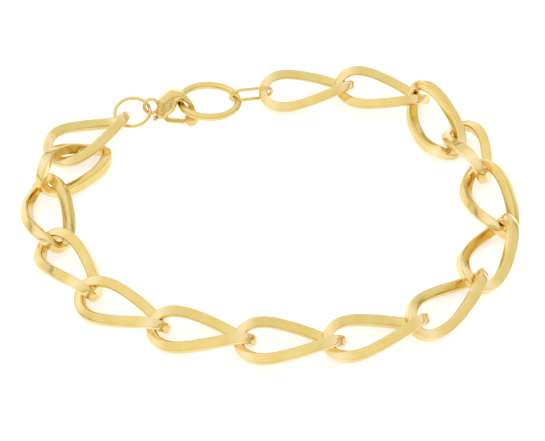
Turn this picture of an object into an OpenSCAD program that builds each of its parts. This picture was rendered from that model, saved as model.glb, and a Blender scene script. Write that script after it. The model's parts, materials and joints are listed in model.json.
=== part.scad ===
// Link bracelet of twisted oval links, closed by a lobster clasp on a round end ring.
// It lies on a surface as it was laid down, with the clasp at the back left.

/* [Links] */
// Length of one link, outside
link_len = 14; // [12:0.1:18]
// Width of one link, outside, before it is twisted
link_w = 6.8; // [5.8:0.1:8]
// Thickness of the wire in the plane of the link
wire_w = 1.4; // [1:0.05:1.6]
// Thickness of the wire across the plane of the link
wire_t = 1.5; // [1:0.05:1.6]
// Share of each side of the wire that is flat
wire_flat = 0.68; // [0.45:0.01:0.8]
// Flatness of the long sides of the link's oval, 2 for an ellipse
side_flatness = 3; // [2:0.1:3.4]
// Flatness of the two tips of the link's oval, 2 for an ellipse
tip_flatness = 2.1; // [2:0.1:2.8]
// Twist from one end of a link to the other, in degrees
link_twist = 92; // [70:1:110]

/* [Rings] */
// Outer diameter of the jump ring on the clasp's eye
jump_ring_d = 5.4; // [5.2:0.1:5.6]
// Thickness of the jump ring's wire
jump_wire = 0.5; // [0.4:0.05:0.5]
// Outer diameter of the end ring that the clasp hooks
end_ring_d = 9.2; // [8:0.1:11]
// Thickness of the end ring's wire
end_wire = 1.05; // [0.8:0.05:1.1]
// Length of the small connecting link, outside
connector_len = 6.7; // [6.6:0.1:6.8]
// Width of the small connecting link, outside
connector_w = 3.35; // [3.2:0.05:3.5]
// Thickness of the connecting link's wire
connector_wire = 0.5; // [0.4:0.05:0.5]

/* [Clasp] */
// Outer diameter of the eye
eye_d = 2.5; // [2.4:0.1:2.6]
// Thickness of the eye's wire
eye_wire = 0.5; // [0.4:0.05:0.5]
// Thickness of the jaw's back from face to face
back_t = 1.7; // [1.4:0.05:1.7]
// Thickness of the jaw's front from face to face
jaw_t = 1.2; // [1:0.05:1.2]
// Radius of the boss round the hinge pin
boss_r = 0.8; // [0.7:0.05:0.9]
// Radius of the jaw at its thick back
back_r = 0.95; // [0.85:0.05:1]
// Radius of the jaw where it turns down inside the end ring
neck_r = 0.31; // [0.25:0.01:0.33]
// Radius of the jaw's round nose
nose_r = 0.98; // [0.9:0.01:1]
// Diameter of the hinge pin
pin_d = 0.5; // [0.4:0.02:0.6]
// Thickness of the lever from face to face
lever_t = 0.6; // [0.5:0.05:0.7]
// Half width of the lever's arm
lever_r = 0.32; // [0.28:0.01:0.36]
// Radius of the lever's thumb tab
tab_r = 0.3; // [0.3:0.01:0.32]
// Width of the thumb tab from side to side
tab_w = 1.1; // [0.8:0.05:1.2]
// Clearance of the lever in the body and on its pin
hinge_gap = 0.08; // [0.05:0.01:0.12]

/* [Hidden] */
$fn = 48;

// Route of the chain, from the jump ring round to the connector.
// Columns: x, y, heading, roll about the long axis, pitch, height above the surface.
X = 0;
Y = 1;
HEADING = 2;
ROLL = 3;
PITCH = 4;
LIFT = 5;
route = [
    [-25.18, 13.61, -139.85, 4.24, -0.13, 0.4],
    [-26.7, 7.26, 234.26, -32.78, 13.79, 0],
    [-29.14, -1.93, -77.48, -0.96, -0.97, 0],
    [-25.46, -11.82, -59.64, -11.08, 3, 0],
    [-18.14, -19.45, -31.22, -6.57, 1.66, 0],
    [-8.19, -23.47, -12.36, -9.18, 2.01, 0],
    [2.6, -24.73, -0.61, -7.53, 0.57, 0],
    [13.2, -23.17, 17.51, -11.9, 2.31, 0],
    [22.29, -17.82, 46.66, -11.06, 2.03, 0],
    [28.18, -8.91, 68.13, -12.08, 1.67, 0],
    [29.2, 1.47, 101.91, -3.86, 2.41, 0],
    [27.38, 11.51, 97.43, 24.99, -10.12, 0],
    [22.73, 17.64, 111.56, -31.46, 11.61, 0],
    [15.91, 24.15, 169.42, -3.1, 4.77, 0],
    [5.16, 24.59, -174.22, -3.79, -2.14, 0]
];
// Pitch of the links that the route was laid out for; other links spread it evenly.
route_pitch = 11.2;
route_scale = (link_len - 2 * wire_w) / route_pitch;

// The closure hangs together piece by piece, from the last link's tip to the first link.
// Clearance of the connector in the end ring.
slack = 0.1;
// Outer end of the connector, inside the last link's tip.
link_tip = [0.32, 24.43, 1.88];
connector_turn = [113.5, 8, 20];
connector_along = turned([1, 0, 0], connector_turn);
connector_place = link_tip - connector_len / 2 * connector_along;
// Where the connector and the clasp lie on the end ring, as angles round the ring.
connector_at = 22;
clasp_at = 199.5;
end_ring_tilt = [-5, 2.2, 0];
end_ring_hole_r = end_ring_d / 2 - end_wire;
end_ring_place = link_tip - connector_len * connector_along
    - (end_ring_hole_r - connector_wire - slack) * [cos(connector_at), sin(connector_at), 0];
// The clasp's hook point, in its own outline, lies on the end ring's wire.
hook_point = [4.26, -0.04, 0];
clasp_lean = 66;
clasp_yaw = 9.5;
hook_place = end_ring_place
    + (end_ring_d - end_wire) / 2 * turned([cos(clasp_at), sin(clasp_at), 0], end_ring_tilt);
eye_place = hook_place - turned(turned(hook_point, [0, clasp_yaw, 0]), [clasp_lean, 0, 0]);
// The jump ring's centre lies on this line from the eye, a little more than its radius away.
jump_ring_side = [-0.937, -0.319, -0.141];
jump_ring_reach = 0.3;
jump_ring_turn = [13.6, 5.1, -29.4];
jump_ring_place = eye_place
    + ((jump_ring_d - jump_wire) / 2 + jump_ring_reach) * jump_ring_side / norm(jump_ring_side);
// How far the closure's end has moved from where the route expects it, shared over the links.
route_end = [-19.26, 18.2];
closing = flat(jump_ring_place - link_tip) - route_scale * (route_end - flat(link_tip));

gold = [0.93, 0.76, 0.37];

// Link: rings of eight points round an oval centreline that is twisted about its long axis.
link_steps = 40;
link_a = (link_len - wire_w) / 2;
link_b = (link_w - wire_w) / 2;
wire_section = [
    [1, wire_flat], [wire_flat, 1], [-wire_flat, 1], [-1, wire_flat],
    [-1, -wire_flat], [-wire_flat, -1], [wire_flat, -1], [1, -wire_flat]
];
wire_sides = len(wire_section);

function flat(p) = [p[0], p[1]];
function turn_x(p, a) = [p[0], p[1] * cos(a) - p[2] * sin(a), p[1] * sin(a) + p[2] * cos(a)];
function turn_y(p, a) = [p[0] * cos(a) + p[2] * sin(a), p[1], p[2] * cos(a) - p[0] * sin(a)];
function turn_z(p, a) = [p[0] * cos(a) - p[1] * sin(a), p[0] * sin(a) + p[1] * cos(a), p[2]];
function turned(p, a) = turn_z(turn_y(turn_x(p, a[0]), a[1]), a[2]);
function signed_power(v, p) = abs(v) < 1e-9 ? 0 : sign(v) * pow(abs(v), p);
function oval_point(t) = [
    link_a * signed_power(cos(t), 2 / side_flatness),
    link_b * signed_power(sin(t), 2 / tip_flatness)
];
function oval_normal(p) =
    let (n = [
        side_flatness * signed_power(p[0] / link_a, side_flatness - 1) / link_a,
        tip_flatness * signed_power(p[1] / link_b, tip_flatness - 1) / link_b
    ])
    n / norm(n);
// The wire's four sides keep facing the same ways along each strand, so against the twist its
// section rolls by a quarter turn from end to end, and by a half turn once round the link.
function section_roll(i, x) = i < link_steps / 2 ? 45 * (x / link_a - 1) : -45 * (3 + x / link_a);
function rolled(s, a) = [s[0] * cos(a) - s[1] * sin(a), s[0] * sin(a) + s[1] * cos(a)];
link_points = [
    for (i = [0:link_steps - 1])
        let (
            c = oval_point(360 * i / link_steps),
            n = oval_normal(c),
            roll = section_roll(i, c[0])
        )
        for (side = wire_section)
            let (s = rolled(side, roll))
            turn_x(
                [
                    c[0] + n[0] * s[0] * wire_w / 2,
                    c[1] + n[1] * s[0] * wire_w / 2,
                    s[1] * wire_t / 2
                ],
                -link_twist / 2 * c[0] / link_a
            )
];
function ring_index(i, j) =
    (i % link_steps) * wire_sides + (j + (i == link_steps ? wire_sides / 2 : 0)) % wire_sides;
link_faces = [
    for (i = [0:link_steps - 1], j = [0:wire_sides - 1], half = [0, 1])
        half == 0
            ? [ring_index(i, j), ring_index(i + 1, j + 1), ring_index(i + 1, j)]
            : [ring_index(i, j), ring_index(i, j + 1), ring_index(i + 1, j + 1)]
];
// Height of a turned point: roll about x, then pitch that lifts the link's far end.
function turned_height(p, roll, pitch) =
    p[0] * sin(pitch) + (p[1] * sin(roll) + p[2] * cos(roll)) * cos(pitch);
function lowest(roll, pitch) = min([for (p = link_points) turned_height(p, roll, pitch)]);

module chain_link(i) {
    row = route[i - 1];
    rest = row[LIFT] - lowest(row[ROLL], row[PITCH]);
    share = (len(route) - i) / (len(route) - 1);
    place = flat(link_tip) + route_scale * ([row[X], row[Y]] - flat(link_tip)) + share * closing;
    color(gold)
        translate([place[0], place[1], rest])
            rotate([0, 0, row[HEADING]])
                rotate([0, -row[PITCH], 0])
                    rotate([row[ROLL], 0, 0])
                        polyhedron(link_points, link_faces, 4);
}

// Ring of round wire, lying flat.
module wire_ring(outer_d, wire_d) {
    rotate_extrude() translate([(outer_d - wire_d) / 2, 0]) circle(d = wire_d);
}

module jump_ring() {
    color(gold) translate(jump_ring_place) rotate(jump_ring_turn) wire_ring(jump_ring_d, jump_wire);
}

module end_ring() {
    color(gold) translate(end_ring_place) rotate(end_ring_tilt) wire_ring(end_ring_d, end_wire);
}

// Long link of round wire: two half rings joined by two straight bars.
module connector() {
    bend_r = (connector_w - connector_wire) / 2;
    bar = connector_len - connector_w;
    color(gold) translate(connector_place) rotate(connector_turn)
        for (side = [0, 180]) rotate([0, 0, side]) {
            translate([bar / 2, 0, 0]) rotate([0, 0, -90])
                rotate_extrude(angle = 180) translate([bend_r, 0]) circle(d = connector_wire);
            translate([-bar / 2, bend_r, 0]) rotate([0, 90, 0]) cylinder(d = connector_wire, h = bar);
        }
}

// Clasp, drawn from the side: the eye at the origin, the nose at +x, the back at +y.
// Columns of the tables: x, y, radius.
pivot = [1.45, -1.05];
hub_r = 0.45;
jaw_back = [
    [pivot[0], pivot[1], boss_r],
    [1.9, 0.45, 0.95],
    [3.0, 1.3, back_r],
    [4.3, 1.55, 0.5]
];
web = [
    [pivot[0], pivot[1], boss_r],
    [2.68, -0.15, 0.72],
    [3.0, 1.3, back_r]
];
jaw_front = [
    [4.3, 1.55, 0.5],
    [5.55, 0.15, neck_r],
    [5.65, -2.05, nose_r]
];
tab = [0.5, -1.75];
lever = [
    [tab[0], tab[1], lever_r],
    [pivot[0], pivot[1], hub_r],
    [2.3, -2.05, lever_r],
    [4.2, -2.3, lever_r]
];
lever_swing = 18;
swing_step = 6;

// Sides of a flat bar between two circles, just inside their outer tangents.
bar_inset = 0.98;
module bar_sides(a, b, grow) {
    ra = bar_inset * (a[2] + grow);
    rb = bar_inset * (b[2] + grow);
    d = [b[0] - a[0], b[1] - a[1]];
    heading = atan2(d[1], d[0]);
    lean = acos((ra - rb) / norm(d));
    polygon([
        for (end = [[a, ra, 1], [b, rb, 1], [b, rb, -1], [a, ra, -1]])
            let (t = heading + end[2] * lean)
            [end[0][0] + end[1] * cos(t), end[0][1] + end[1] * sin(t)]
    ]);
}

// Chain of flat bars with a circle at each joint.
module bars(table, grow = 0) {
    for (row = table) translate([row[0], row[1]]) circle(r = row[2] + grow);
    for (i = [0:len(table) - 2]) bar_sides(table[i], table[i + 1], grow);
}

module on_clasp() {
    translate(hook_place) rotate([clasp_lean, 0, 0]) rotate([0, clasp_yaw, 0]) translate(-hook_point)
        children();
}

module clasp_body() {
    color(gold) on_clasp() {
        wire_ring(eye_d, eye_wire);
        difference() {
            union() {
                linear_extrude(back_t, center = true) {
                    bars(jaw_back);
                    bars(web);
                }
                linear_extrude(jaw_t, center = true) bars(jaw_front);
            }
            linear_extrude(lever_t + 2 * hinge_gap, center = true)
                for (swing = [0:swing_step:lever_swing])
                    translate(pivot) rotate(swing) translate(-pivot) bars(lever, hinge_gap);
        }
        translate([pivot[0], pivot[1], 0]) cylinder(d = pin_d, h = back_t, center = true);
    }
}

module clasp_lever() {
    color(gold) on_clasp() difference() {
        union() {
            linear_extrude(lever_t, center = true) bars(lever);
            translate([tab[0], tab[1], 0]) cylinder(r = tab_r, h = tab_w, center = true);
        }
        translate([pivot[0], pivot[1], 0])
            cylinder(d = pin_d + 2 * hinge_gap, h = back_t, center = true);
    }
}

chain_link(1);  // link_01
chain_link(2);  // link_02
chain_link(3);  // link_03
chain_link(4);  // link_04
chain_link(5);  // link_05
chain_link(6);  // link_06
chain_link(7);  // link_07
chain_link(8);  // link_08
chain_link(9);  // link_09
chain_link(10);  // link_10
chain_link(11);  // link_11
chain_link(12);  // link_12
chain_link(13);  // link_13
chain_link(14);  // link_14
chain_link(15);  // link_15
jump_ring();
clasp_body();
clasp_lever();
end_ring();
connector();
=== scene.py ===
import json
import math

import bpy
import numpy as np
from mathutils import Matrix, Vector


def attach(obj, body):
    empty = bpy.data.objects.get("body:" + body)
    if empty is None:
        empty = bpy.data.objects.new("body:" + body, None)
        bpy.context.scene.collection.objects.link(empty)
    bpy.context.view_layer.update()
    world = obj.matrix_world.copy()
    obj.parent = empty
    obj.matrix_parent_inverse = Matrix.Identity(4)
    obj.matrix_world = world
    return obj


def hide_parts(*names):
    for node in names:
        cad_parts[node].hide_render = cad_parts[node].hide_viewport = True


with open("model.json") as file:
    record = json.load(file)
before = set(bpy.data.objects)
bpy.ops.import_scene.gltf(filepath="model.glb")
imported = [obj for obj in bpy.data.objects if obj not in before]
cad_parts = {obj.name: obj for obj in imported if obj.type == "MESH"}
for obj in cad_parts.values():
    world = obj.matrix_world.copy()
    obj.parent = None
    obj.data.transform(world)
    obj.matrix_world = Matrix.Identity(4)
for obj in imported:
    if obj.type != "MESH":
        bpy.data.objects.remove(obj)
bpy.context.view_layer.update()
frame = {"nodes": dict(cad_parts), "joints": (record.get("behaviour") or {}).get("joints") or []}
cad_nodes = frame["nodes"]
bpy.ops.object.select_all(action="DESELECT")

mm = 0.001

# The link's oval and its wire, as in the CAD model.
oval_half_length = 6.3 * mm
oval_half_width = 2.7 * mm
wire_in_plane = 1.4 * mm
wire_across = 1.5 * mm
side_flatness = 3
tip_flatness = 2.1
link_twist = math.radians(92)

# What the CAD model leaves to the looks: the wire's edges, in shares of its half width, and how
# round rubbing has made it at the tips, outside and inside, from a share of the half length on.
wire_edge_round = 0.42
wire_edge_steps = 4
outer_rounding = 1.0
inner_rounding = 0.5
rounding_from = 0.75

# How far in from a tip a link is rubbed most, with the most painted sheen, and how far from there
# that fades.
rub_and_sheen_middle = 1.5 * mm
rub_and_sheen_reach = 1.6 * mm

# The opening of the jump ring's butt joint.
jump_ring_cut = 0.05 * mm

# How finely the links and rings are cut up, and how near two points are merged.
link_rings = 120
ring_steps = 120
wire_sides = 24
merge_within = 0.001 * mm

# The clasp's castings: their grain, how often they are smoothed, and the rivet's low head.
casting_grain = 0.045 * mm
casting_smoothing = 14
rivet_radius = 0.42 * mm
rivet_rise = 0.09 * mm
rivet_sides = 48
rivet_edge_steps = 5

# The clasp's hinge pin, seen from the middle of its eye, along and across the clasp.
pin_along = 1.45 * mm
pin_across = -1.05 * mm
boss_half_width = 0.85 * mm

# Bars of the clasp's body, seen from the side: along, across and half width in millimetres,
# and how far from the middle plane each stays flat.
clasp_bars = (
    (((1.45, -1.05, 0.8), (1.9, 0.45, 0.95), (3.0, 1.3, 0.95), (4.3, 1.55, 0.5)), 0.42 * mm),
    (((1.45, -1.05, 0.8), (2.68, -0.15, 0.72), (3.0, 1.3, 0.95)), 0.42 * mm),
    (((4.3, 1.55, 0.5), (5.55, 0.15, 0.31), (5.65, -2.05, 0.98)), 0.1 * mm),
)

# The lever's arm, from its bend to its tip along the clasp, and how much further it reaches so
# that it rests on the nose.
arm_start = 2.6 * mm
arm_end = 4.5 * mm
arm_reach = 0.24 * mm

# Height round the table, 0 level with it and 1 overhead, and the colour of the light there:
# the white wall behind the paper, the warm dark room in the gap, then the tent.
room_brown = (0.24, 0.12, 0.05)
surroundings = (
    (0.02, (0.88, 0.88, 0.88)),
    (0.165, (0.85, 0.85, 0.85)),
    (0.18, room_brown),
    (0.22, room_brown),
    (0.24, (0.94, 0.94, 0.94)),
    (0.6, (0.98, 0.98, 0.98)),
    (0.98, (1, 1, 1)),
)

# Colours of the gold, as linear red, green and blue.
pale_gold = (0.79, 0.63, 0.255, 1)
warm_gold = (0.775, 0.58, 0.195, 1)
# The rubbed gold's paler colour is painted sheen, not the metal's own colour.
painted_sheen_gold = (0.94, 0.75, 0.41, 1)

# The gold's patterns, as noise scales per metre, and the noise values between which each sets in.
cloud_scale = 420
cloud_from = 0.35
cloud_to = 0.65
patch_scale = 900
wave_scale = 1600
hairline_sets = (
    ((0.3, 0.5, 0.4), (9000, 420, 9000)),
    ((1.1, -0.6, 2.0), (7000, 500, 8000)),
)
hairline_from = 0.60
hairline_to = 0.72
least_scratched = 0.4
scratch_roughness = 0.18

# The studio: how white the paper is, how much light comes through it, and how much brighter the
# tent is on the left.
paper_size = 3
paper_drop = 0.01 * mm
paper_white = (0.72, 0.72, 0.72, 1)
paper_roughness = 0.8
paper_specular = 0.1
paper_glow = 0.5
tent_side = 0.6
tent_left = 1.14
tent_right = 1.0

# The camera, as fitted to the photograph.
camera_elevation = math.radians(42.51)
camera_roll = math.radians(0.43)
camera_place = Vector((0.4, -170.2, 155.4)) * mm
camera_lens = 114.47
camera_sensor = 36
camera_nearest = 0.01


# Small helpers for edit mode.

def finish_editing(piece):
    bpy.ops.mesh.select_all(action="SELECT")
    bpy.ops.mesh.remove_doubles(threshold=merge_within)
    bpy.ops.mesh.normals_make_consistent(inside=False)
    bpy.ops.object.mode_set(mode="OBJECT")
    piece.select_set(False)


def choose(piece, wanted):
    """Selects the vertices of the edited piece whose place passes the test."""
    bpy.ops.mesh.select_all(action="DESELECT")
    bpy.ops.object.mode_set(mode="OBJECT")
    for vertex in piece.data.vertices:
        vertex.select = wanted(vertex.co)
    bpy.ops.object.mode_set(mode="EDIT")
    bpy.ops.mesh.select_mode(type="VERT")


def finish_with(piece, kind, **settings):
    """Adds one modifier to the piece and applies it."""
    bpy.context.view_layer.objects.active = piece
    modifier = piece.modifiers.new(kind.lower(), kind)
    for name, value in settings.items():
        setattr(modifier, name, value)
    bpy.ops.object.modifier_apply(modifier=modifier.name)


# Sizes and places, measured on the CAD nodes.

def node_points(name):
    corners = np.array([vertex.co for vertex in cad_nodes[name].data.vertices], float)
    return np.unique(corners.round(8), axis=0)


def own_axes(points):
    """The points' middle and their own axes, the longest first, and the size along each."""
    middle = points.mean(axis=0)
    spread, axes = np.linalg.eigh(np.cov((points - middle).T))
    longest = Vector(axes[:, 2])
    shortest = Vector(axes[:, 0])
    across = shortest.cross(longest)
    turn = Matrix((longest, across, shortest)).transposed()
    size = [np.ptp((points - middle) @ np.array(axis)) for axis in (longest, across, shortest)]
    return Matrix.Translation(Vector(middle)) @ turn.to_4x4(), size


def clasp_axes():
    """The clasp's own frame: the eye's middle, x along the clasp, y to its back."""
    hinge = frame["joints"][0]
    axis = Vector(hinge["axis"]).normalized()
    lean = math.atan2(-axis.y, axis.z)
    yaw = math.asin(axis.x)
    along = Vector((math.cos(yaw), math.sin(yaw) * math.sin(lean), -math.sin(yaw) * math.cos(lean)))
    back = axis.cross(along)
    eye = Vector(hinge["pos_m"]) - pin_along * along - pin_across * back
    turn = Matrix((along, back, axis)).transposed()
    return Matrix.Translation(eye) @ turn.to_4x4()


# Gold.

def wired(tree, source, target):
    tree.links.new(source, target)


def worn_gold_group():
    """Polished gold that has been worn: cloudy colour, dull patches and fine hairline scratches,
    and a paler colour of painted sheen where it is rubbed.
    """
    group = bpy.data.node_groups.new("worn polished gold", "ShaderNodeTree")
    for name, kind, value in (
        ("Gold", "NodeSocketColor", pale_gold),
        ("Warm", "NodeSocketColor", warm_gold),
        ("Painted Sheen Gold", "NodeSocketColor", painted_sheen_gold),
        ("Polish", "NodeSocketFloat", 0.12),
        ("Dulling", "NodeSocketFloat", 0.10),
        ("Scratches", "NodeSocketFloat", 0.5),
    ):
        socket = group.interface.new_socket(name, in_out="INPUT", socket_type=kind)
        socket.default_value = value
    for name, kind in (("Color", "NodeSocketColor"), ("Roughness", "NodeSocketFloat"),
                       ("Height", "NodeSocketFloat")):
        group.interface.new_socket(name, in_out="OUTPUT", socket_type=kind)
    add = group.nodes.new
    given = add("NodeGroupInput")
    out = add("NodeGroupOutput")
    place = add("ShaderNodeTexCoord")

    cloud = add("ShaderNodeTexNoise")
    cloud.inputs["Scale"].default_value = cloud_scale
    cloud.inputs["Detail"].default_value = 3
    wired(group, place.outputs["Object"], cloud.inputs["Vector"])
    colour = add("ShaderNodeMix")
    colour.data_type = "RGBA"
    spread = add("ShaderNodeMapRange")
    spread.inputs["From Min"].default_value = cloud_from
    spread.inputs["From Max"].default_value = cloud_to
    wired(group, cloud.outputs["Fac"], spread.inputs["Value"])
    wired(group, spread.outputs["Result"], colour.inputs["Factor"])
    wired(group, given.outputs["Gold"], colour.inputs["A"])
    wired(group, given.outputs["Warm"], colour.inputs["B"])

    # Where a link is rubbed, near its tips, it carries more scratches, and its colour is made paler
    # there as painted sheen.
    rub_and_sheen = add("ShaderNodeAttribute")
    rub_and_sheen.attribute_name = "rub_and_sheen"
    worn = add("ShaderNodeMix")
    worn.data_type = "RGBA"
    wired(group, rub_and_sheen.outputs["Fac"], worn.inputs["Factor"])
    wired(group, colour.outputs["Result"], worn.inputs["A"])
    wired(group, given.outputs["Painted Sheen Gold"], worn.inputs["B"])
    wired(group, worn.outputs["Result"], out.inputs["Color"])

    # Two sets of hairlines that cross.
    lines = []
    for turn, stretch in hairline_sets:
        lay = add("ShaderNodeMapping")
        lay.inputs["Rotation"].default_value = turn
        lay.inputs["Scale"].default_value = stretch
        hair = add("ShaderNodeTexNoise")
        hair.inputs["Scale"].default_value = 1
        hair.inputs["Detail"].default_value = 2
        keep = add("ShaderNodeMapRange")
        keep.inputs["From Min"].default_value = hairline_from
        keep.inputs["From Max"].default_value = hairline_to
        wired(group, place.outputs["Object"], lay.inputs["Vector"])
        wired(group, lay.outputs["Vector"], hair.inputs["Vector"])
        wired(group, hair.outputs["Fac"], keep.inputs["Value"])
        lines.append(keep.outputs["Result"])
    hairlines = add("ShaderNodeMath")
    hairlines.operation = "MAXIMUM"
    wired(group, lines[0], hairlines.inputs[0])
    wired(group, lines[1], hairlines.inputs[1])
    more = add("ShaderNodeMath")
    more.operation = "MULTIPLY_ADD"
    more.inputs[1].default_value = 1 - least_scratched
    more.inputs[2].default_value = least_scratched
    wired(group, rub_and_sheen.outputs["Fac"], more.inputs[0])
    deep = add("ShaderNodeMath")
    deep.operation = "MULTIPLY"
    wired(group, hairlines.outputs[0], deep.inputs[0])
    wired(group, more.outputs[0], deep.inputs[1])
    scratched = add("ShaderNodeMath")
    scratched.operation = "MULTIPLY"
    wired(group, deep.outputs[0], scratched.inputs[0])
    wired(group, given.outputs["Scratches"], scratched.inputs[1])

    # Dull patches, with the scratches on top.
    patch = add("ShaderNodeTexNoise")
    patch.inputs["Scale"].default_value = patch_scale
    patch.inputs["Detail"].default_value = 4
    wired(group, place.outputs["Object"], patch.inputs["Vector"])
    dull = add("ShaderNodeMath")
    dull.operation = "MULTIPLY_ADD"
    wired(group, patch.outputs["Fac"], dull.inputs[0])
    wired(group, given.outputs["Dulling"], dull.inputs[1])
    wired(group, given.outputs["Polish"], dull.inputs[2])
    rough = add("ShaderNodeMath")
    rough.operation = "MULTIPLY_ADD"
    rough.inputs[1].default_value = scratch_roughness
    wired(group, scratched.outputs[0], rough.inputs[0])
    wired(group, dull.outputs[0], rough.inputs[2])
    wired(group, rough.outputs[0], out.inputs["Roughness"])

    # Slight unevenness left by tumbling, less the scratches.
    wave = add("ShaderNodeTexNoise")
    wave.inputs["Scale"].default_value = wave_scale
    wave.inputs["Detail"].default_value = 1
    wired(group, place.outputs["Object"], wave.inputs["Vector"])
    height = add("ShaderNodeMath")
    height.operation = "SUBTRACT"
    wired(group, wave.outputs["Fac"], height.inputs[0])
    wired(group, scratched.outputs[0], height.inputs[1])
    wired(group, height.outputs[0], out.inputs["Height"])
    return group


def gold(name, polish, dulling, scratches, unevenness):
    material = bpy.data.materials.new(name)
    material.use_nodes = True
    tree = material.node_tree
    shader = tree.nodes["Principled BSDF"]
    shader.inputs["Metallic"].default_value = 1
    wear = tree.nodes.new("ShaderNodeGroup")
    wear.node_tree = worn_gold
    wear.inputs["Polish"].default_value = polish
    wear.inputs["Dulling"].default_value = dulling
    wear.inputs["Scratches"].default_value = scratches
    bump = tree.nodes.new("ShaderNodeBump")
    bump.inputs["Strength"].default_value = 1
    bump.inputs["Distance"].default_value = unevenness
    wired(tree, wear.outputs["Color"], shader.inputs["Base Color"])
    wired(tree, wear.outputs["Roughness"], shader.inputs["Roughness"])
    wired(tree, wear.outputs["Height"], bump.inputs["Height"])
    wired(tree, bump.outputs["Normal"], shader.inputs["Normal"])
    return material


def gild(piece, material, rub_and_sheen=None):
    """Gives the piece its gold, and how rubbed each vertex is, which also sets its painted sheen.
    """
    piece.data.materials.clear()
    piece.data.materials.append(material)
    if rub_and_sheen is not None:
        marks = piece.data.attributes.new("rub_and_sheen", "FLOAT", "POINT")
        marks.data.foreach_set("value", [rub_and_sheen(vertex.co) for vertex in piece.data.vertices])


def settle(piece, where, body, node):
    """Puts the piece at its place in the frame, hangs it on its body and hides the CAD node that it
    stands for.
    """
    piece.data.transform(where)
    piece.data.update()
    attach(piece, body)
    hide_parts(node)


# Links.

def signed_power(value, power):
    return math.copysign(abs(value) ** power, value)


def bent(place):
    """Where a point of the straight bar goes in the link, once the bar is bent round the oval.

    The bar lies along x, from 0 to 1 once round. Its section rolls against the link's twist by
    half a turn on the way, so each face looks the same way all along a strand."""
    around = 2 * math.pi * place.x
    along = signed_power(math.cos(around), 2 / side_flatness)
    aside = signed_power(math.sin(around), 2 / tip_flatness)
    outward = Vector((side_flatness * signed_power(along, side_flatness - 1) / oval_half_length,
                      tip_flatness * signed_power(aside, tip_flatness - 1) / oval_half_width, 0))
    outward.normalize()
    roll = math.pi / 4 * (along - 1) if place.x < 0.5 else -math.pi / 4 * (along + 3)
    out = place.y * math.cos(roll) - place.z * math.sin(roll)
    up = place.y * math.sin(roll) + place.z * math.cos(roll)
    # Bending and rubbing have rounded the wire at the two tips, most of all outside.
    tip = max(0.0, (abs(along) - rounding_from) / (1 - rounding_from))
    rounding = outer_rounding if out > 0 else inner_rounding
    keep = 1 - rounding * tip * (1 - 1 / math.hypot(place.y, place.z))
    out *= keep
    up *= keep
    spot = Vector((oval_half_length * along, oval_half_width * aside, 0))
    spot += out * wire_in_plane / 2 * outward + Vector((0, 0, up * wire_across / 2))
    return Matrix.Rotation(-link_twist / 2 * along, 3, "X") @ spot


def curb_link():
    """One link along x: a square wire with rounded edges, bent into an oval and twisted."""
    bpy.ops.mesh.primitive_plane_add(size=2, rotation=(0, math.pi / 2, 0))
    link = bpy.context.object
    link.name = "curb_link_pattern"
    bpy.ops.object.transform_apply(location=True, rotation=True, scale=True)
    bpy.ops.object.mode_set(mode="EDIT")
    bpy.ops.mesh.select_all(action="SELECT")
    bpy.ops.mesh.bevel(affect="VERTICES", offset_type="OFFSET", offset=wire_edge_round,
                       segments=wire_edge_steps)
    bpy.ops.mesh.delete(type="ONLY_FACE")
    bpy.ops.mesh.select_all(action="SELECT")
    bpy.ops.mesh.extrude_region_move(TRANSFORM_OT_translate={"value": (1, 0, 0)})
    # Only the bar's long edges are cut up, into rings.
    bpy.ops.mesh.select_all(action="DESELECT")
    bpy.ops.mesh.select_mode(type="EDGE")
    bpy.ops.object.mode_set(mode="OBJECT")
    corners = link.data.vertices
    for edge in link.data.edges:
        start, end = edge.vertices
        edge.select = abs(corners[start].co.x - corners[end].co.x) > 0.5
    bpy.ops.object.mode_set(mode="EDIT")
    bpy.ops.mesh.subdivide(number_cuts=link_rings - 1)
    bpy.ops.object.mode_set(mode="OBJECT")
    for vertex in link.data.vertices:
        vertex.co = bent(vertex.co)
    bpy.ops.object.mode_set(mode="EDIT")
    finish_editing(link)
    finish_with(link, "SUBSURF", levels=1, render_levels=1)
    link.data.shade_smooth()
    return link


def rub_and_sheen_ends(length, most_at, reach):
    """How rubbed a point of a link is, and so how much painted sheen it gets, from its place along
    x: most a little way in from a tip.
    """
    def amount(place):
        from_end = length / 2 - abs(place.x)
        return max(0.0, 1 - abs(from_end - most_at) / reach)
    return amount


# Rings of round wire.

def spun_ring(name, outer, wire, open_by=0):
    """A wire spun round z, closed, or with a fine butt joint left open on the x side."""
    radius = (outer - wire) / 2
    bpy.ops.mesh.primitive_circle_add(vertices=wire_sides, radius=wire / 2,
                                      location=(radius, 0, 0), rotation=(math.pi / 2, 0, 0))
    ring = bpy.context.object
    ring.name = name
    bpy.ops.object.transform_apply(location=True, rotation=True, scale=True)
    bpy.ops.object.mode_set(mode="EDIT")
    bpy.ops.mesh.select_all(action="SELECT")
    gap = open_by / radius
    bpy.ops.transform.rotate(value=-gap / 2, orient_axis="Z", center_override=(0, 0, 0))
    bpy.ops.mesh.spin(steps=ring_steps, angle=2 * math.pi - gap, center=(0, 0, 0), axis=(0, 0, 1))
    if open_by:
        bpy.ops.mesh.select_all(action="SELECT")
        bpy.ops.mesh.remove_doubles(threshold=merge_within)
        bpy.ops.mesh.select_all(action="DESELECT")
        bpy.ops.mesh.select_mode(type="EDGE")
        bpy.ops.mesh.select_non_manifold()
        bpy.ops.mesh.edge_face_add()
    finish_editing(ring)
    return ring


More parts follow.
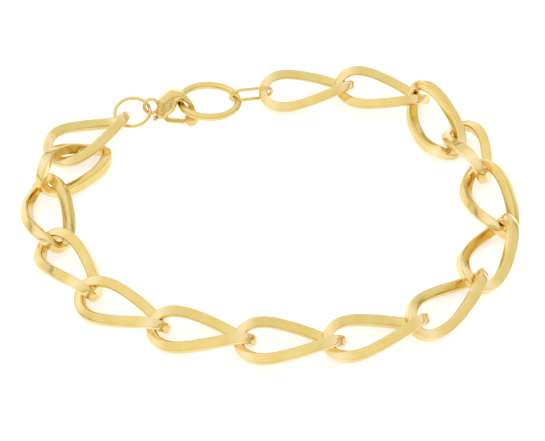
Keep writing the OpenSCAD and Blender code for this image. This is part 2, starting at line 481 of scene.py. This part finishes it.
def stretched(ring, by):
    """Pulls the two halves of a ring apart along x, so that straight bars join them."""
    bpy.context.view_layer.objects.active = ring
    ring.select_set(True)
    bpy.ops.object.mode_set(mode="EDIT")
    bpy.ops.mesh.select_all(action="SELECT")
    bpy.ops.transform.rotate(value=math.pi / ring_steps, orient_axis="Z", center_override=(0, 0, 0))
    for side in (1, -1):
        choose(ring, lambda place: place.x * side > 0)
        bpy.ops.transform.translate(value=(side * by / 2, 0, 0))
    bpy.ops.mesh.select_all(action="SELECT")
    bpy.ops.object.mode_set(mode="OBJECT")
    ring.select_set(False)
    return ring


# Clasp.

def depth_in(bar, place):
    """How deep a point lies in a tapered bar, seen from the side: 0 at its rim, 1 in its middle."""
    (start_x, start_y, start_r), (end_x, end_y, end_r) = bar
    start = Vector((start_x, start_y)) * mm
    way = Vector((end_x, end_y)) * mm - start
    off = Vector((place.x, place.y)) - start
    share = min(1.0, max(0.0, off.dot(way) / way.length_squared))
    half_width = (start_r + share * (end_r - start_r)) * mm
    return max(0.0, 1 - (off - share * way).length / half_width)


def domed(place):
    """Rounds the clasp's flat cheeks off towards their rims, down to the walls of the slot."""
    depth, flat = max((depth_in(bar, place), flat)
                      for bars, flat in clasp_bars for bar in zip(bars, bars[1:]))
    if depth == 0 or abs(place.z) < flat:
        return place
    height = flat + (abs(place.z) - flat) * math.sqrt(depth * (2 - depth))
    return Vector((place.x, place.y, math.copysign(height, place.z)))


def rested(place):
    """Lengthens the lever's arm until its tip rests on the nose."""
    share = max(0.0, (place.x - arm_start) / (arm_end - arm_start))
    return Vector((place.x + share * arm_reach, place.y, place.z))


def casting(name, node, where, shape=None):
    """A rounded casting: a copy of the node, melted into one skin, shaped and smoothed."""
    body = cad_nodes[node].copy()
    body.data = cad_nodes[node].data.copy()
    for key in list(body.keys()):
        del body[key]
    body.parent = None
    body.name = name
    bpy.context.scene.collection.objects.link(body)
    body.data.transform(where.inverted())
    bpy.context.view_layer.objects.active = body
    body.select_set(True)
    bpy.ops.object.mode_set(mode="EDIT")
    finish_editing(body)
    finish_with(body, "REMESH", mode="VOXEL", voxel_size=casting_grain)
    if shape:
        for vertex in body.data.vertices:
            vertex.co = shape(vertex.co)
    finish_with(body, "SMOOTH", factor=0.5, iterations=casting_smoothing)
    body.data.shade_smooth()
    return body


def rivet_head(side):
    """A low domed rivet head on one cheek of the clasp."""
    bpy.ops.mesh.primitive_cylinder_add(vertices=rivet_sides, radius=rivet_radius,
                                        depth=2 * rivet_rise,
                                        location=(pin_along, pin_across, side * boss_half_width))
    head = bpy.context.object
    bpy.ops.object.transform_apply(location=True, rotation=True, scale=True)
    finish_with(head, "BEVEL", limit_method="ANGLE", angle_limit=math.radians(50),
                width=rivet_rise, segments=rivet_edge_steps)
    head.data.shade_smooth()
    head.select_set(False)
    return head


def joined(body, parts):
    for part in parts + [body]:
        part.select_set(True)
    bpy.context.view_layer.objects.active = body
    bpy.ops.object.join()
    body.select_set(False)
    return body


worn_gold = worn_gold_group()
link_gold = gold("polished link gold", polish=0.10, dulling=0.10, scratches=0.5,
                 unevenness=0.004 * mm)
wire_gold = gold("polished wire gold", polish=0.09, dulling=0.09, scratches=0.4,
                 unevenness=0.003 * mm)
clasp_gold = gold("polished clasp gold", polish=0.12, dulling=0.12, scratches=0.6,
                  unevenness=0.005 * mm)

link_names = sorted(name for name in cad_nodes if name.startswith("link_"))
pattern = curb_link()
# The links' rubbed ends get more scratches and a painted sheen.
gild(pattern, link_gold, rub_and_sheen_ends(2 * oval_half_length + wire_in_plane, rub_and_sheen_middle, rub_and_sheen_reach))
pattern_axes = own_axes(np.array([vertex.co for vertex in pattern.data.vertices]))[0]
for name in link_names:
    link = pattern.copy()
    link.data = pattern.data.copy()
    link.name = "curb_" + name
    bpy.context.scene.collection.objects.link(link)
    where = own_axes(node_points(name))[0] @ pattern_axes.inverted()
    settle(link, where, "bracelet", name)
bpy.data.objects.remove(pattern)

clasp_where = clasp_axes()

where, size = own_axes(node_points("end_ring"))
end_ring = spun_ring("hooked_end_ring", max(size[0], size[1]), size[2])
gild(end_ring, wire_gold)
end_ring.data.shade_smooth()
settle(end_ring, where, "bracelet", "end_ring")

where, size = own_axes(node_points("jump_ring"))
jump_ring = spun_ring("clasp_jump_ring", max(size[0], size[1]), size[2], jump_ring_cut)
gild(jump_ring, wire_gold)
jump_ring.data.shade_smooth()
settle(jump_ring, where, "bracelet", "jump_ring")

where, size = own_axes(node_points("connector"))
connector = stretched(spun_ring("oval_connector", size[1], size[2]), size[0] - size[1])
gild(connector, wire_gold)
connector.data.shade_smooth()
settle(connector, where, "bracelet", "connector")

clasp_body = joined(casting("lobster_clasp_body", "clasp_body", clasp_where, domed),
                    [rivet_head(1), rivet_head(-1)])
gild(clasp_body, clasp_gold)
settle(clasp_body, clasp_where, "bracelet", "clasp_body")

clasp_lever = casting("lobster_clasp_lever", "clasp_lever", clasp_where, rested)
gild(clasp_lever, clasp_gold)
settle(clasp_lever, clasp_where, "lever", "clasp_lever")


# Studio: white paper under a white tent, and the room seen through the gap between them.

bpy.ops.mesh.primitive_plane_add(size=paper_size, location=(0, 0, -paper_drop))
floor = bpy.context.object
floor.name = "floor"
paper = bpy.data.materials.new("white paper")
paper.use_nodes = True
paper_shader = paper.node_tree.nodes["Principled BSDF"]
paper_shader.inputs["Base Color"].default_value = paper_white
paper_shader.inputs["Roughness"].default_value = paper_roughness
paper_shader.inputs["Specular IOR Level"].default_value = paper_specular
paper_shader.inputs["Emission Color"].default_value = (1, 1, 1, 1)
paper_shader.inputs["Emission Strength"].default_value = paper_glow
floor.data.materials.append(paper)
floor.select_set(False)

tent = bpy.data.worlds.new("white tent")
bpy.context.scene.world = tent
tent.use_nodes = True
sky = tent.node_tree
back = sky.nodes["Background"]
towards = sky.nodes.new("ShaderNodeTexCoord")
split = sky.nodes.new("ShaderNodeSeparateXYZ")
fade = sky.nodes.new("ShaderNodeValToRGB")
stops = fade.color_ramp.elements
stops[0].position = 0
stops[1].position = 1
for height, colour in surroundings:
    stop = stops.new(height)
    stop.color = (*colour, 1)
stops.remove(stops[0])
stops.remove(stops[-1])
across = sky.nodes.new("ShaderNodeMapRange")
across.inputs["From Min"].default_value = -tent_side
across.inputs["From Max"].default_value = tent_side
across.inputs["To Min"].default_value = tent_left
across.inputs["To Max"].default_value = tent_right
wired(sky, towards.outputs["Generated"], split.inputs["Vector"])
wired(sky, split.outputs["Z"], fade.inputs["Fac"])
wired(sky, split.outputs["X"], across.inputs["Value"])
wired(sky, fade.outputs["Color"], back.inputs["Color"])
wired(sky, across.outputs["Result"], back.inputs["Strength"])

forward = Vector((0, math.cos(camera_elevation), -math.sin(camera_elevation)))
level = Vector((1, 0, 0))
upward = level.cross(forward)
right = math.cos(camera_roll) * level + math.sin(camera_roll) * upward
top = -math.sin(camera_roll) * level + math.cos(camera_roll) * upward
lens = bpy.data.cameras.new("camera")
lens.lens = camera_lens
lens.sensor_width = camera_sensor
lens.clip_start = camera_nearest
camera = bpy.data.objects.new("camera", lens)
camera_turn = Matrix((right, top, -forward)).transposed().to_4x4()
camera.matrix_world = Matrix.Translation(camera_place) @ camera_turn
bpy.context.scene.collection.objects.link(camera)
bpy.context.scene.camera = camera
bpy.context.scene.view_settings.view_transform = "Standard"
